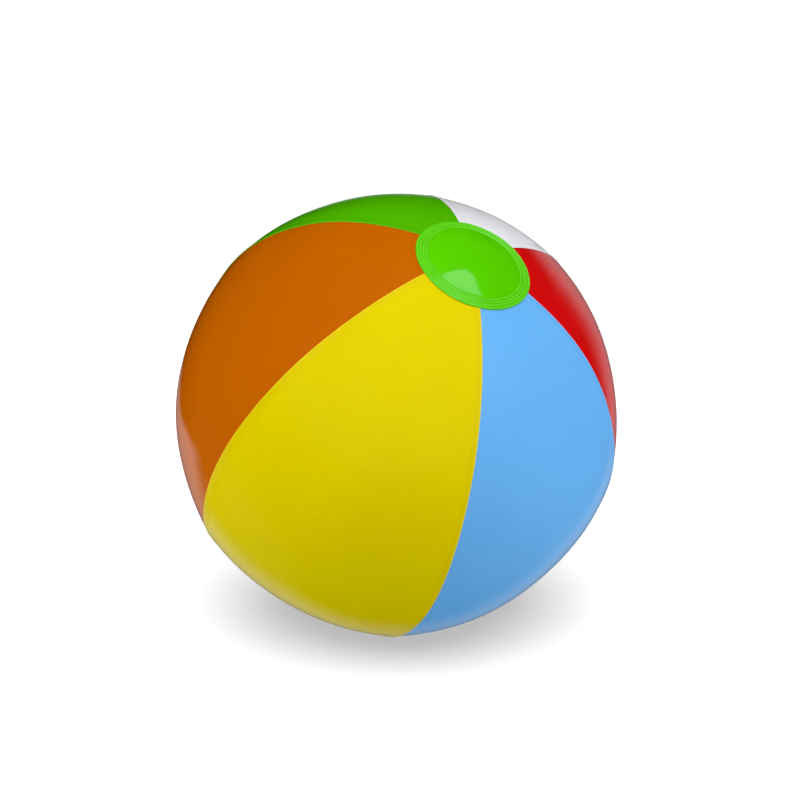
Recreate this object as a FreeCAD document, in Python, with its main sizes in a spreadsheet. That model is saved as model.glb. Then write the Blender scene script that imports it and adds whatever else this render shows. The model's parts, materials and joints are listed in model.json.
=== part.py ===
import FreeCAD, Part
import math
import os

import Sketcher

# An inflatable beach ball of six welded PVC film panels and two round end caps, with a push-in
# valve in the green panel. Millimetres. The origin is the ball's centre and +Z is up. The ball
# lies at rest on its side, so its poles lean away from the vertical by lean_angle.
#
# Two local frames are used:
#   ball frame:  +Z through the top cap, +X at the red and white seam before the ball is spun
#   valve frame: origin on the outside of the film, +Z straight out of the ball

DIMENSIONS = [
    ("lean_angle", 43.5, "top pole, from straight up towards -Y"),
    ("spin_angle", 18.7, "first seam, about the pole"),
    ("seam_radius", 180.0, "ball centre to a seam, at the equator"),
    ("panel_radius", 177.3, "ball centre to the middle of a panel, all the way round it"),
    ("panel_half_angle", 30.0, "half the width of a panel, about the pole"),
    ("film", 0.3, "thickness of the panels' film"),
    ("trim_margin", 4.0, "film left past each seam before it is trimmed"),
    ("trim_reach", 400.0, "half the side of the square that the seam trim fills"),
    ("pole_hole_radius", 35.0, "hole that the panels' cut tips leave at each pole"),
    ("cap_radius", 44.5, "round end cap, across the flat"),
    ("cap_inside", 177.6, "ball centre to the inside of a cap"),
    ("cap_outside", 178.0, "ball centre to the outside of a cap"),
    ("valve_angle", 140.0, "valve, from the top pole along the middle of the green panel"),
    ("film_hole_radius", 8.0, "hole in the film, and inside of the flange"),
    ("flange_radius", 13.0, "welded flange"),
    ("flange_inner_top", -0.6, "top of the flange at the hole"),
    ("flange_outer_top", -0.9, "top of the flange at its edge"),
    ("flange_inner_foot", -1.5, "underside of the flange at the hole"),
    ("flange_outer_foot", -1.5, "underside of the flange at its edge"),
    ("web_outer_radius", 7.95, "folding web, where it meets the flange"),
    ("web_inner_radius", 5.15, "folding web, where it meets the stem"),
    ("web_outer_top", -0.7, "web at the flange, upper side"),
    ("web_outer_foot", -1.4, "web at the flange, lower side"),
    ("web_inner_top", -6.2, "web at the stem, upper side"),
    ("web_inner_foot", -7.0, "web at the stem, lower side"),
    ("bore_radius", 3.0, "air way through the stem"),
    ("seat_radius", 4.0, "mouth of the tapered seat for the stopper"),
    ("stem_radius", 5.0, "outside of the stem"),
    ("rim_radius", 6.5, "rim at the mouth of the stem"),
    ("rim_top", 2.0, "mouth of the stem, pushed in"),
    ("rim_underside", 0.8, "underside of the rim"),
    ("seat_foot", -1.6, "bottom of the tapered seat"),
    ("stem_foot", -11.0, "inner end of the stem"),
    ("lid_radius", 6.2, "round lid of the plug"),
    ("lid_underside", 2.05, "underside of the lid, closed"),
    ("lid_top", 3.25, "top of the lid, closed"),
    ("stopper_root_radius", 3.93, "tapered stopper at the lid"),
    ("stopper_tip_radius", 2.93, "tapered stopper at its tip"),
    ("stopper_tip", -1.55, "tip of the stopper, closed"),
    ("tab_reach", 9.4, "finger tab, from the valve's axis"),
    ("tab_half_width", 2.6, "finger tab"),
    ("tab_underside", 2.35, "finger tab, raised so that a nail goes under it"),
    ("strap_pivot_reach", 11.0, "middle of the strap's fold, from the valve's axis"),
    ("strap_pivot_height", 1.8, "middle of the strap's fold"),
    ("strap_inner_fold", 0.35, "inside radius of the strap's fold"),
    ("strap_outer_fold", 1.05, "outside radius of the strap's fold"),
    ("strap_rim_end", 6.65, "strap's end at the rim, from the valve's axis"),
    ("strap_lid_end", 6.35, "strap's end at the lid, from the valve's axis"),
    ("strap_width", 4.0, "strap across"),
    ("flap_radius", 4.4, "check flap"),
    ("flap_top", -11.05, "check flap's sealing face, closed"),
    ("flap_foot", -11.55, "check flap's inner face, closed"),
    ("flap_hinge_reach", 4.9, "flap's hinge line, from the valve's axis"),
    ("flap_hinge_half_width", 1.5, "flap's hinge strip"),
]

# Panels in their order about the pole, counted from the first seam.
PANELS = ["panel_white", "panel_green", "panel_orange", "panel_yellow", "panel_blue", "panel_red"]
VALVE_PANEL = "panel_green"

SHEET = "Dimensions"
NAME_LIMIT = 60
VOLUME_TOLERANCE = 0.15

doc = FreeCAD.newDocument("BeachBall")


def make_sheet():
    """Puts each driving dimension in a row of the spreadsheet: words, then the number with its alias."""
    sheet = doc.addObject("Spreadsheet::Sheet", SHEET)
    for row, (alias, value, words) in enumerate(DIMENSIONS, start=1):
        sheet.set(f"A{row}", words)
        sheet.set(f"B{row}", str(value))
        sheet.setAlias(f"B{row}", alias)
    doc.recompute()
    return sheet


dimensions = make_sheet()


def size(alias):
    """A driving dimension's number, read from the sheet."""
    return float(dimensions.get(alias))


def cell(alias):
    """The expression that reads a driving dimension."""
    return f"{SHEET}.{alias}"


# A panel bulges across its width as an arc through its two seams and its middle.
HALF_CHORD = f"({cell('seam_radius')} * sin({cell('panel_half_angle')}))"
BULGE = f"({cell('panel_radius')} - {cell('seam_radius')} * cos({cell('panel_half_angle')}))"
LOBE_RADIUS = f"(({HALF_CHORD}^2 + {BULGE}^2) / (2 * {BULGE}))"


def lobe_radius():
    """Radius of the arc across a panel, as the LOBE_RADIUS expression gives it."""
    half_angle = math.radians(size("panel_half_angle"))
    half_chord = size("seam_radius") * math.sin(half_angle)
    bulge = size("panel_radius") - size("seam_radius") * math.cos(half_angle)
    return (half_chord**2 + bulge**2) / (2 * bulge)


# ---------------------------------------------------------------- attitudes


def ball_attitude():
    """Turns the ball frame into the row frame: a spin about the pole, then the lean about X."""
    lean = FreeCAD.Rotation(FreeCAD.Vector(1, 0, 0), size("lean_angle"))
    spin = FreeCAD.Rotation(FreeCAD.Vector(0, 0, 1), size("spin_angle"))
    return FreeCAD.Placement(FreeCAD.Vector(), lean * spin)


def panel_attitude(name):
    """Puts a panel that is drawn about +X into its place about the pole."""
    middle = size("panel_half_angle") * (2 * PANELS.index(name) + 1)
    turn = FreeCAD.Rotation(FreeCAD.Vector(0, 0, 1), middle)
    return ball_attitude() * FreeCAD.Placement(FreeCAD.Vector(), turn)


def valve_attitude():
    """Stands the valve frame on the outside of its panel, +X towards the bottom cap."""
    tilt = FreeCAD.Rotation(FreeCAD.Vector(0, 1, 0), size("valve_angle"))
    outward = tilt.multVec(FreeCAD.Vector(0, 0, size("panel_radius")))
    return panel_attitude(VALVE_PANEL) * FreeCAD.Placement(outward, tilt)


# ---------------------------------------------------------------- sketch helpers


def new_body(name):
    """A body whose label is its node's name."""
    body = doc.addObject("PartDesign::Body", f"{name}_body")
    body.Label = name
    return body


def new_sketch(body, name, role, tilt=None):
    """A sketch flat on one of the body's own origin planes, turned by tilt where one is given."""
    sketch = body.newObject("Sketcher::SketchObject", name)
    plane = next(feature for feature in body.Origin.OriginFeatures if feature.Role == role)
    sketch.AttachmentSupport = [(plane, "")]
    sketch.MapMode = "FlatFace"
    if tilt is not None:
        sketch.AttachmentOffset = FreeCAD.Placement(FreeCAD.Vector(), tilt)
    return sketch


def bind(sketch, constraint, name, expression):
    """Adds a constraint, names it and drives it from the sheet."""
    index = sketch.addConstraint(constraint)
    sketch.renameConstraint(index, name)
    sketch.setExpression(f"Constraints.{name}", expression)


def bind_point(sketch, edge, end, across, up, label):
    """Fixes one end of an edge: across and up are aliases, and across is None on the axis."""
    if across is None:
        sketch.addConstraint(Sketcher.Constraint("PointOnObject", edge, end, -2))
    else:
        offset = Sketcher.Constraint("DistanceX", -1, 1, edge, end, size(across))
        bind(sketch, offset, f"across_{label}", cell(across))
    height = Sketcher.Constraint("DistanceY", -1, 1, edge, end, size(up))
    bind(sketch, height, f"up_{label}", cell(up))


def draw_outline(sketch, corners):
    """Draws a closed outline of straight sides through corners given as (across, up) aliases."""
    places = []
    for across, up in corners:
        places.append(FreeCAD.Vector(size(across) if across else 0.0, size(up), 0))
    count = len(places)
    for index in range(count):
        sketch.addGeometry(Part.LineSegment(places[index], places[(index + 1) % count]))
    for index in range(count):
        following = (index + 1) % count
        sketch.addConstraint(Sketcher.Constraint("Coincident", index, 2, following, 1))
    for index, (across, up) in enumerate(corners):
        bind_point(sketch, index, 1, across, up, str(index))


def revolve(body, sketch, name):
    """Turns a sketch a full turn about its own upright axis."""
    turned = body.newObject("PartDesign::Revolution", name)
    turned.Profile = sketch
    turned.ReferenceAxis = (sketch, ["V_Axis"])
    turned.Angle = 360
    return turned


def revolved_body(name, corners):
    """A piece of the valve that is round about the valve's axis, from its half section."""
    body = new_body(name)
    sketch = new_sketch(body, f"{name}_section", "XZ_Plane")
    draw_outline(sketch, corners)
    revolve(body, sketch, f"{name}_turned")
    body.Placement = valve_attitude()
    return body


def cut_through(body, sketch, name):
    """Removes a sketch's area from the whole body, on both sides of its plane."""
    pocket = body.newObject("PartDesign::Pocket", name)
    pocket.Profile = sketch
    pocket.SideType = "Symmetric"
    pocket.Type = "Length"
    pocket.setExpression("Length", f"2 * {cell('trim_reach')}")
    return pocket


def check_cut(body, before, expected, name):
    """Stops the build unless a cut took away about the expected volume."""
    doc.recompute()
    removed = before - body.Shape.Volume
    if abs(removed - expected) > VOLUME_TOLERANCE * expected:
        raise RuntimeError(f"{name} removed {removed:.2f} mm3, expected about {expected:.2f}")


# ---------------------------------------------------------------- panels


def draw_film_band(sketch):
    """The film's section across a panel at the equator: two arcs of one centre, closed by two ends."""
    outer = lobe_radius()
    inner = outer - size("film")
    centre = FreeCAD.Vector(size("panel_radius") - outer, 0, 0)
    half_width = size("seam_radius") * math.sin(math.radians(size("panel_half_angle")))
    reach = half_width + size("trim_margin")

    def band_point(radius, across):
        return FreeCAD.Vector(centre.x + math.sqrt(radius**2 - across**2), across, 0)

    for radius in (outer, inner):
        circle = Part.Circle(centre, FreeCAD.Vector(0, 0, 1), radius)
        turn = math.asin(reach / radius)
        sketch.addGeometry(Part.ArcOfCircle(circle, -turn, turn))
    for side in (1, -1):
        start = band_point(outer, side * reach)
        end = band_point(inner, side * reach)
        sketch.addGeometry(Part.LineSegment(start, end))

    outer_arc, inner_arc, top_end, bottom_end = range(4)
    for end_line, arc_end in ((top_end, 2), (bottom_end, 1)):
        sketch.addConstraint(Sketcher.Constraint("Coincident", outer_arc, arc_end, end_line, 1))
        sketch.addConstraint(Sketcher.Constraint("Coincident", inner_arc, arc_end, end_line, 2))
        sketch.addConstraint(Sketcher.Constraint("Horizontal", end_line))
    sketch.addConstraint(Sketcher.Constraint("Coincident", inner_arc, 3, outer_arc, 3))
    sketch.addConstraint(Sketcher.Constraint("PointOnObject", outer_arc, 3, -1))
    place = Sketcher.Constraint("DistanceX", -1, 1, outer_arc, 3, centre.x)
    bind(sketch, place, "arc_centre", f"{cell('panel_radius')} - {LOBE_RADIUS}")
    bind(sketch, Sketcher.Constraint("Radius", outer_arc, outer), "outside", LOBE_RADIUS)
    inside = f"{LOBE_RADIUS} - {cell('film')}"
    bind(sketch, Sketcher.Constraint("Radius", inner_arc, inner), "inside", inside)
    for sign, line, label in ((1, top_end, "top_end"), (-1, bottom_end, "bottom_end")):
        height = Sketcher.Constraint("DistanceY", -1, 1, line, 1, sign * reach)
        bind(sketch, height, label, f"{sign} * ({HALF_CHORD} + {cell('trim_margin')})")


def draw_seam_trim(sketch):
    """A square with a wedge left out of it: what the two seam planes cut off a panel."""
    reach = size("trim_reach")
    square = [(-reach, -reach), (reach, -reach), (reach, reach), (-reach, reach)]
    wedge_end = reach / 2
    half_width = wedge_end * math.tan(math.radians(size("panel_half_angle")))
    wedge = [(0, 0), (wedge_end, -half_width), (wedge_end, half_width)]
    for corners in (square, wedge):
        first = sketch.GeometryCount
        count = len(corners)
        for index in range(count):
            start = FreeCAD.Vector(*corners[index], 0)
            end = FreeCAD.Vector(*corners[(index + 1) % count], 0)
            sketch.addGeometry(Part.LineSegment(start, end))
        for index in range(count):
            following = first + (index + 1) % count
            sketch.addConstraint(Sketcher.Constraint("Coincident", first + index, 2, following, 1))

    bottom, right, top, left, lower_seam, wedge_back, upper_seam = range(7)
    for level in (bottom, top):
        sketch.addConstraint(Sketcher.Constraint("Horizontal", level))
    for upright in (right, left, wedge_back):
        sketch.addConstraint(Sketcher.Constraint("Vertical", upright))
    for edge, kind, sign in ((bottom, "Y", -1), (right, "X", 1), (top, "Y", 1), (left, "X", -1)):
        side = Sketcher.Constraint(f"Distance{kind}", -1, 1, edge, 1, sign * reach)
        bind(sketch, side, f"side_{edge}", f"{sign} * {cell('trim_reach')}")
    sketch.addConstraint(Sketcher.Constraint("Coincident", lower_seam, 1, -1, 1))
    back = Sketcher.Constraint("DistanceX", -1, 1, wedge_back, 1, wedge_end)
    bind(sketch, back, "wedge_back", f"{cell('trim_reach')} / 2")
    spread = f"{cell('trim_reach')} / 2 * tan({cell('panel_half_angle')})"
    low = Sketcher.Constraint("DistanceY", -1, 1, wedge_back, 1, -half_width)
    bind(sketch, low, "lower_seam", f"-1 * {spread}")
    high = Sketcher.Constraint("DistanceY", -1, 1, upper_seam, 1, half_width)
    bind(sketch, high, "upper_seam", spread)


def draw_circle(sketch, alias):
    """A circle about the sketch's origin, of the radius that an alias names."""
    circle = Part.Circle(FreeCAD.Vector(), FreeCAD.Vector(0, 0, 1), size(alias))
    sketch.addGeometry(circle)
    sketch.addConstraint(Sketcher.Constraint("Coincident", 0, 3, -1, 1))
    bind(sketch, Sketcher.Constraint("Radius", 0, size(alias)), "radius", cell(alias))


def make_panel(name):
    """One film panel: a bulged band turned about the ball, trimmed on its two seams and its tips."""
    body = new_body(name)
    section = new_sketch(body, f"{name}_section", "XY_Plane")
    draw_film_band(section)
    revolve(body, section, f"{name}_band")
    seams = new_sketch(body, f"{name}_seams", "XY_Plane")
    draw_seam_trim(seams)
    cut_through(body, seams, f"{name}_seam_trim")
    tips = new_sketch(body, f"{name}_tips", "XY_Plane")
    draw_circle(tips, "pole_hole_radius")
    cut_through(body, tips, f"{name}_tip_trim")
    doc.recompute()
    sphere_share = size("panel_half_angle") / 180
    shell = 4 * math.pi * size("panel_radius") ** 2 * size("film") * sphere_share
    if abs(body.Shape.Volume - shell) > VOLUME_TOLERANCE * shell:
        raise RuntimeError(f"{name} holds {body.Shape.Volume:.0f} mm3, expected about {shell:.0f}")
    if name == VALVE_PANEL:
        cut_valve_hole(body)
    body.Placement = panel_attitude(name)
    return body


def cut_valve_hole(body):
    """Cuts the round hole that the valve stands in, straight through the film."""
    before = body.Shape.Volume
    tilt = FreeCAD.Rotation(FreeCAD.Vector(0, 1, 0), size("valve_angle"))
    hole = new_sketch(body, "valve_hole_circle", "XY_Plane", tilt)
    draw_circle(hole, "film_hole_radius")
    pocket = body.newObject("PartDesign::Pocket", "valve_hole")
    pocket.Profile = hole
    pocket.Reversed = True
    pocket.Type = "Length"
    pocket.setExpression("Length", cell("trim_reach"))
    expected = math.pi * size("film_hole_radius") ** 2 * size("film")
    check_cut(body, before, expected, "valve_hole")


# ---------------------------------------------------------------- end caps


def make_cap(name, flip_degrees):
    """A round cap of film, welded over the panels' cut tips: a shallow part of a hollow sphere."""
    body = new_body(name)
    sketch = new_sketch(body, f"{name}_section", "XZ_Plane")
    outside = size("cap_outside")
    inside = size("cap_inside")
    rim = size("cap_radius")
    right_angle = math.pi / 2
    for radius in (outside, inside):
        circle = Part.Circle(FreeCAD.Vector(), FreeCAD.Vector(0, 0, 1), radius)
        sketch.addGeometry(Part.ArcOfCircle(circle, math.acos(rim / radius), right_angle))
    rim_ends = [FreeCAD.Vector(rim, math.sqrt(r**2 - rim**2), 0) for r in (outside, inside)]
    sketch.addGeometry(Part.LineSegment(rim_ends[0], rim_ends[1]))
    middle_ends = [FreeCAD.Vector(0, radius, 0) for radius in (outside, inside)]
    sketch.addGeometry(Part.LineSegment(middle_ends[0], middle_ends[1]))

    outer_arc, inner_arc, rim_line, middle_line = range(4)
    for arc in (outer_arc, inner_arc):
        sketch.addConstraint(Sketcher.Constraint("Coincident", arc, 3, -1, 1))
    for line, arc_end in ((rim_line, 1), (middle_line, 2)):
        sketch.addConstraint(Sketcher.Constraint("Coincident", outer_arc, arc_end, line, 1))
        sketch.addConstraint(Sketcher.Constraint("Coincident", inner_arc, arc_end, line, 2))
    sketch.addConstraint(Sketcher.Constraint("Vertical", rim_line))
    for end in (1, 2):
        sketch.addConstraint(Sketcher.Constraint("PointOnObject", middle_line, end, -2))
    for arc, alias in ((outer_arc, "cap_outside"), (inner_arc, "cap_inside")):
        bind(sketch, Sketcher.Constraint("Radius", arc, size(alias)), alias, cell(alias))
    across = Sketcher.Constraint("DistanceX", -1, 1, rim_line, 1, rim)
    bind(sketch, across, "rim", cell("cap_radius"))
    revolve(body, sketch, f"{name}_turned")
    flip = FreeCAD.Rotation(FreeCAD.Vector(1, 0, 0), flip_degrees)
    body.Placement = ball_attitude() * FreeCAD.Placement(FreeCAD.Vector(), flip)
    return body


# ---------------------------------------------------------------- valve


def make_flange():
    """The welded ring under the film, round the hole."""
    return revolved_body(
        "valve_flange",
        [
            ("film_hole_radius", "flange_inner_top"),
            ("flange_radius", "flange_outer_top"),
            ("flange_radius", "flange_outer_foot"),
            ("film_hole_radius", "flange_inner_foot"),
        ],
    )


def make_web():
    """The thin conical web that lets the stem push in and pop out."""
    return revolved_body(
        "valve_web",
        [
            ("web_outer_radius", "web_outer_top"),
            ("web_outer_radius", "web_outer_foot"),
            ("web_inner_radius", "web_inner_foot"),
            ("web_inner_radius", "web_inner_top"),
        ],
    )


def make_stem():
    """The mouthpiece: a tube with a rim, and a tapered seat for the stopper."""
    return revolved_body(
        "valve_stem",
        [
            ("bore_radius", "stem_foot"),
            ("bore_radius", "seat_foot"),
            ("seat_radius", "rim_top"),
            ("rim_radius", "rim_top"),
            ("rim_radius", "rim_underside"),
            ("stem_radius", "rim_underside"),
            ("stem_radius", "stem_foot"),
        ],
    )


def draw_tongue(sketch, reach, half_width, side):
    """A strip from the axis to reach on one side, given as aliases, for a tab or a hinge strip."""
    end = side * size(reach)
    width = size(half_width)
    corners = [(0, -width), (end, -width), (end, width), (0, width)]
    count = len(corners)
    for index in range(count):
        start = FreeCAD.Vector(*corners[index], 0)
        stop = FreeCAD.Vector(*corners[(index + 1) % count], 0)
        sketch.addGeometry(Part.LineSegment(start, stop))
    for index in range(count):
        following = (index + 1) % count
        sketch.addConstraint(Sketcher.Constraint("Coincident", index, 2, following, 1))
    near_side, far_end, other_side, axis_end = range(count)
    for level in (near_side, other_side):
        sketch.addConstraint(Sketcher.Constraint("Horizontal", level))
    for upright in (far_end, axis_end):
        sketch.addConstraint(Sketcher.Constraint("Vertical", upright))
    sketch.addConstraint(Sketcher.Constraint("PointOnObject", axis_end, 1, -2))
    far = Sketcher.Constraint("DistanceX", -1, 1, far_end, 1, end)
    bind(sketch, far, "reach", f"{side} * {cell(reach)}")
    for sign, line, label in ((-1, near_side, "near_side"), (1, other_side, "other_side")):
        edge = Sketcher.Constraint("DistanceY", -1, 1, line, 1, sign * width)
        bind(sketch, edge, label, f"{sign} * {cell(half_width)}")


def add_tongue(body, name, strip, levels):
    """Adds a flat tongue to a valve piece: strip is (reach, half width, side), levels (foot, top)."""
    foot, top = levels
    sketch = new_sketch(body, f"{name}_outline", "XY_Plane")
    sketch.AttachmentOffset = FreeCAD.Placement(FreeCAD.Vector(0, 0, size(foot)), FreeCAD.Rotation())
    sketch.setExpression("AttachmentOffset.Base.z", cell(foot))
    draw_tongue(sketch, *strip)
    pad = body.newObject("PartDesign::Pad", name)
    pad.Profile = sketch
    pad.Type = "Length"
    pad.setExpression("Length", f"{cell(top)} - {cell(foot)}")


def make_plug():
    """The plug: a round lid with a finger tab, and a tapered stopper that fills the seat."""
    body = revolved_body(
        "valve_plug",
        [
            (None, "stopper_tip"),
            ("stopper_tip_radius", "stopper_tip"),
            ("stopper_root_radius", "lid_underside"),
            ("lid_radius", "lid_underside"),
            ("lid_radius", "lid_top"),
            (None, "lid_top"),
        ],
    )
    add_tongue(body, "finger_tab", ("tab_reach", "tab_half_width", -1), ("tab_underside", "lid_top"))
    return body


def make_flap():
    """The check flap that closes the stem's inner end, with the strip that it hinges on."""
    body = revolved_body(
        "check_flap",
        [
            (None, "flap_foot"),
            ("flap_radius", "flap_foot"),
            ("flap_radius", "flap_top"),
            (None, "flap_top"),
        ],
    )
    strip = ("flap_hinge_reach", "flap_hinge_half_width", 1)
    add_tongue(body, "flap_hinge_strip", strip, ("flap_foot", "flap_top"))
    return body


def make_strap():
    """The strap that keeps the plug on the rim: a flat band folded back on itself at its middle."""
    body = new_body("valve_strap")
    sketch = new_sketch(body, "strap_side", "XZ_Plane")
    reach = size("strap_pivot_reach")
    height = size("strap_pivot_height")
    centre = FreeCAD.Vector(reach, height, 0)
    right_angle = math.pi / 2
    folds = [size("strap_outer_fold"), size("strap_inner_fold")]
    for radius in folds:
        circle = Part.Circle(centre, FreeCAD.Vector(0, 0, 1), radius)
        sketch.addGeometry(Part.ArcOfCircle(circle, -right_angle, right_angle))
    ends = ((1, size("strap_lid_end")), (-1, size("strap_rim_end")))
    for side, end_reach in ends:
        levels = [height + side * radius for radius in folds]
        for level in levels:
            start = FreeCAD.Vector(reach, level, 0)
            stop = FreeCAD.Vector(end_reach, level, 0)
            sketch.addGeometry(Part.LineSegment(start, stop))
        lower = FreeCAD.Vector(end_reach, levels[0], 0)
        upper = FreeCAD.Vector(end_reach, levels[1], 0)
        sketch.addGeometry(Part.LineSegment(lower, upper))

    outer_fold, inner_fold = range(2)
    legs = ((2, 3, 4, 2, "strap_lid_end"), (5, 6, 7, 1, "strap_rim_end"))
    sketch.addConstraint(Sketcher.Constraint("Coincident", inner_fold, 3, outer_fold, 3))
    for outer_line, inner_line, end_line, arc_end, alias in legs:
        for arc, line, line_end in ((outer_fold, outer_line, 1), (inner_fold, inner_line, 2)):
            sketch.addConstraint(Sketcher.Constraint("Coincident", arc, arc_end, line, 1))
            sketch.addConstraint(Sketcher.Constraint("Coincident", line, 2, end_line, line_end))
            sketch.addConstraint(Sketcher.Constraint("Horizontal", line))
            sketch.addConstraint(Sketcher.Constraint("Vertical", line, 1, outer_fold, 3))
        sketch.addConstraint(Sketcher.Constraint("Vertical", end_line))
        end = Sketcher.Constraint("DistanceX", -1, 1, end_line, 1, size(alias))
        bind(sketch, end, alias, cell(alias))
    fold_across = Sketcher.Constraint("DistanceX", -1, 1, outer_fold, 3, reach)
    bind(sketch, fold_across, "fold_across", cell("strap_pivot_reach"))
    fold_up = Sketcher.Constraint("DistanceY", -1, 1, outer_fold, 3, height)
    bind(sketch, fold_up, "fold_up", cell("strap_pivot_height"))
    for arc, alias in ((outer_fold, "strap_outer_fold"), (inner_fold, "strap_inner_fold")):
        bind(sketch, Sketcher.Constraint("Radius", arc, size(alias)), alias, cell(alias))
    pad = body.newObject("PartDesign::Pad", "strap_band")
    pad.Profile = sketch
    pad.SideType = "Symmetric"
    pad.setExpression("Length", cell("strap_width"))
    body.Placement = valve_attitude()
    return body


# ---------------------------------------------------------------- the ball


def check_document():
    """Stops the build if any object failed to compute."""
    for item in doc.Objects:
        bad = {"Invalid", "Error"} & set(item.State)
        if bad:
            raise RuntimeError(f"{item.Label} is {sorted(bad)}")


def check_piece(piece):
    """Stops the build unless a piece is one closed, valid solid with a name short enough."""
    shape = piece.Shape
    if shape.isNull() or not shape.isValid():
        raise RuntimeError(f"{piece.Label} has no valid shape")
    if len(shape.Solids) != 1:
        raise RuntimeError(f"{piece.Label} has {len(shape.Solids)} solids")
    if len(piece.Label) >= NAME_LIMIT:
        raise RuntimeError(f"{piece.Label} is too long a name")


def main():
    """Builds every piece, checks them all, then writes each to its own file."""
    pieces = [make_panel(name) for name in PANELS]
    pieces.append(make_cap("top_cap", 0))
    pieces.append(make_cap("bottom_cap", 180))
    pieces.append(make_flange())
    pieces.append(make_web())
    pieces.append(make_stem())
    pieces.append(make_plug())
    pieces.append(make_strap())
    pieces.append(make_flap())
    doc.recompute()
    check_document()
    for piece in pieces:
        check_piece(piece)
    os.makedirs("parts", exist_ok=True)
    for piece in pieces:
        piece.Shape.exportStep(f"parts/{piece.Label}.step")
        print(f"{piece.Label}: {piece.Shape.Volume:.1f} mm3")


main()
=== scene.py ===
import json
import math

import bpy
import numpy as np
from mathutils import Matrix, Vector


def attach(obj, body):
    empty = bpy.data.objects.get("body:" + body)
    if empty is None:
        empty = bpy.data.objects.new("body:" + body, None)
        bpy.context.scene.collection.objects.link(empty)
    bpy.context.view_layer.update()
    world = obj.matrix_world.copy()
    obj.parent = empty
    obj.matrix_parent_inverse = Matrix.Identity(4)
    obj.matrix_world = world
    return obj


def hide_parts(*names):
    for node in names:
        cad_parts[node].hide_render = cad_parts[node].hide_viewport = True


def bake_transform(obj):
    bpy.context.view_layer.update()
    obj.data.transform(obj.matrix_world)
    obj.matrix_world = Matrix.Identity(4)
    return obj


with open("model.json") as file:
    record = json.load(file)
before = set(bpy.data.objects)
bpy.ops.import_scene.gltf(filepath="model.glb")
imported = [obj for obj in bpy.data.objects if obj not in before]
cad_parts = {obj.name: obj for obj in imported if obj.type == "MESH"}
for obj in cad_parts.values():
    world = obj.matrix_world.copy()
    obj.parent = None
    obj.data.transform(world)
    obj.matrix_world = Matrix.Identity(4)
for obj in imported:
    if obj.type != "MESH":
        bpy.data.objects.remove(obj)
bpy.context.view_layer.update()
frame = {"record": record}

MM = 0.001

# ---------------------------------------------------------------- the ball's own sizes, in mm

LEAN = math.radians(43.5)          # top pole, from straight up towards -Y
SPIN = math.radians(18.7)          # first seam, about the pole
SEAM_RADIUS = 180.0                # ball centre to a seam at the equator
PANEL_RADIUS = 177.3               # ball centre to the middle of a panel
HALF_PANEL = math.radians(30)      # half a panel's width, about the pole
FILM = 0.3                         # film thickness
TIP_RADIUS = 35.0                  # hole that the panels' cut tips leave at a pole
VALVE_COLATITUDE = math.radians(140)   # the valve's place, from the top pole

# lap seam: one panel's edge lies over its neighbour's margin and is welded down
LAP_LIFT = 0.32                    # how far the upper film stands over the lower
LAP_MARGIN = 3.6                   # lower film, past the seam
LAP_EDGE = 0.3                     # upper film, past the seam
LAP_RAMP_START = 7.6               # where the upper film starts to rise, before the seam
LAP_RAMP = 3.8
BEAD_HEIGHT = 0.16                 # film squeezed out along the weld
BEAD_WIDTH = 0.38
BEAD_MIDDLE = 0.25                 # middle of the bead's painted highlight, in from the edge
BEAD_REACH = 0.95                  # how far that colour reaches either side
WELD_INSET = 1.5                   # where the weld's duller skin starts, up the ramp
WELD_LINES = (1.5, 2.9)            # shallow lines that the welding bar leaves, before the seam
WELD_LINE_DEPTH = 0.03
WELD_LINE_WIDTH = 0.3
CREASE_ROUNDING = 2.2              # half the width over which a seam's corner is rounded

# each panel: middle's place about the pole (in panels), material slot,
# and whether its low and high edges lie on top
PANELS = {
    "panel_white": (0, "white_film", True, True),
    "panel_green": (1, "green_film", False, True),
    "panel_orange": (2, "orange_film", False, False),
    "panel_yellow": (3, "yellow_film", True, True),
    "panel_blue": (4, "blue_film", False, True),
    "panel_red": (5, "red_film", False, False),
}

# half the chord across a panel, its bulge, the arc's radius and its centre's distance behind
HALF_CHORD = SEAM_RADIUS * math.sin(HALF_PANEL)
BULGE = PANEL_RADIUS - SEAM_RADIUS * math.cos(HALF_PANEL)
LOBE_RADIUS = (HALF_CHORD**2 + BULGE**2) / (2 * BULGE)
LOBE_SETBACK = LOBE_RADIUS - PANEL_RADIUS


# ---------------------------------------------------------------- small helpers


def smoothstep(t):
    """0 below 0, 1 above 1, and 3t^2 - 2t^3 between."""
    t = np.clip(t, 0.0, 1.0)
    return t * t * (3 - 2 * t)


def bump(distance, width):
    """A smooth ridge of height 1: exp(-(distance / width)^2)."""
    return np.exp(-((distance / width) ** 2))


def rotation(axis, angle):
    return np.array(Matrix.Rotation(angle, 3, axis))


BALL_TURN = rotation("X", LEAN) @ rotation("Z", SPIN)


def ball_frame(points):
    """Turns points of the ball frame (+Z at the top pole, first seam on +X) into the part's frame."""
    return points @ BALL_TURN.T


def mesh_object(name, points, faces, attributes=None):
    """Makes an object from points in mm (the part's frame) and a list of face index arrays."""
    mesh = bpy.data.meshes.new(name)
    mesh.from_pydata((np.asarray(points) * MM).tolist(), [], [f for block in faces for f in block.tolist()])
    for key, values in (attributes or {}).items():
        layer = mesh.attributes.new(key, "FLOAT", "POINT")
        layer.data.foreach_set("value", np.asarray(values, np.float32))
    mesh.validate()
    mesh.polygons.foreach_set("use_smooth", np.ones(len(mesh.polygons), bool))
    mesh.update()
    piece = bpy.data.objects.new(name, mesh)
    bpy.context.scene.collection.objects.link(piece)
    return piece


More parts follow.
